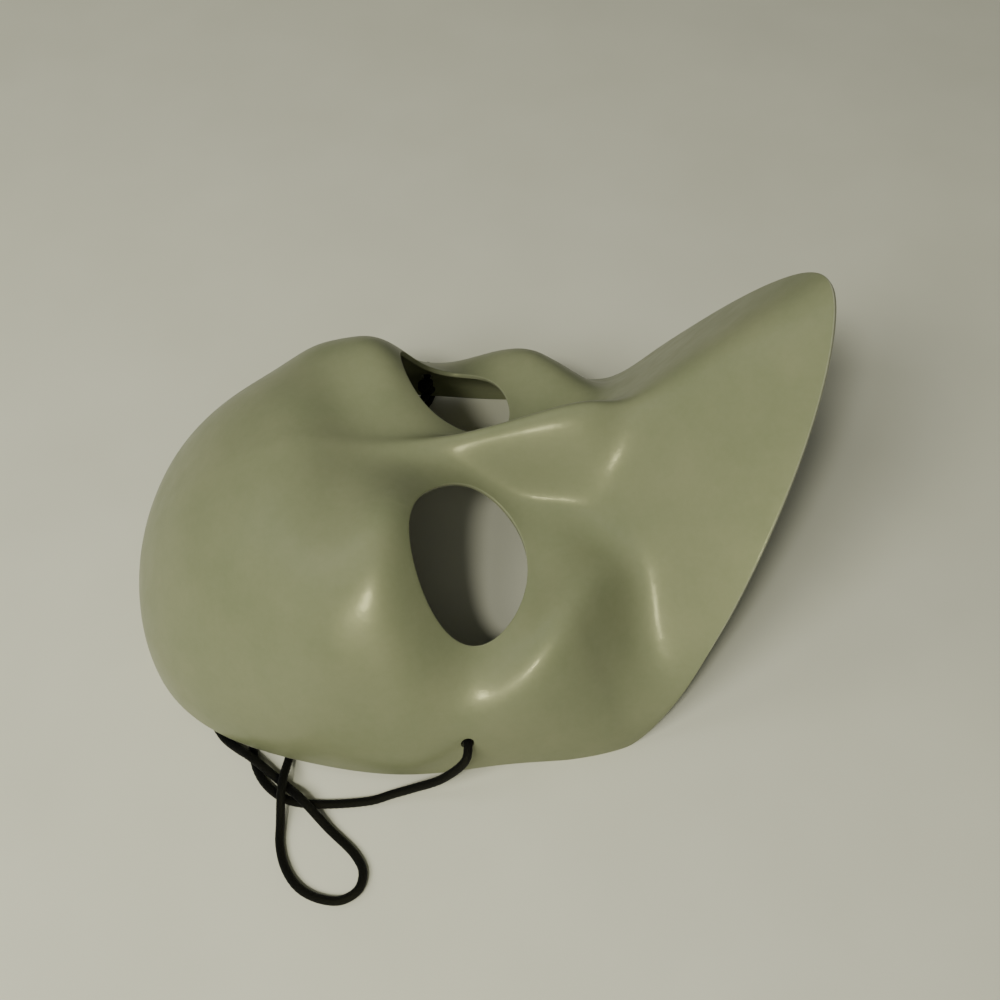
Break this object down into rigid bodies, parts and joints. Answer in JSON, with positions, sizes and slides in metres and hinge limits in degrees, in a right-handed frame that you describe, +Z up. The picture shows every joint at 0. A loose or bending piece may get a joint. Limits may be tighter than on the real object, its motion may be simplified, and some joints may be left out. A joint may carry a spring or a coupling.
{
  "type": "theatre mask",
  "caption": "Blank full-face theatre mask: a thin moulded shell with open eye holes, a straight nose, a long jutting chin prow and a round elastic head cord, lying face up.",
  "frame": {"origin": "on the ground, under the middle of the mask's own box as it lies face up on its rim", "axes": "+X from the forehead to the chin, +Z up out of the face, +Y across the face to the side away from the cord's loop"},
  "size_m": [0.2296, 0.2132, 0.1355],
  "materials": {
    "shell_plastic": "pale sage green thermoformed plastic with a soft satin gloss, unpainted",
    "cord_elastic": "black braided round elastic"
  },
  "bodies": {
    "root": {"mask_shell": "shell_plastic", "elastic_cord": "cord_elastic", "knot_near": "cord_elastic", "knot_far": "cord_elastic"}
  },
  "joints": []
}
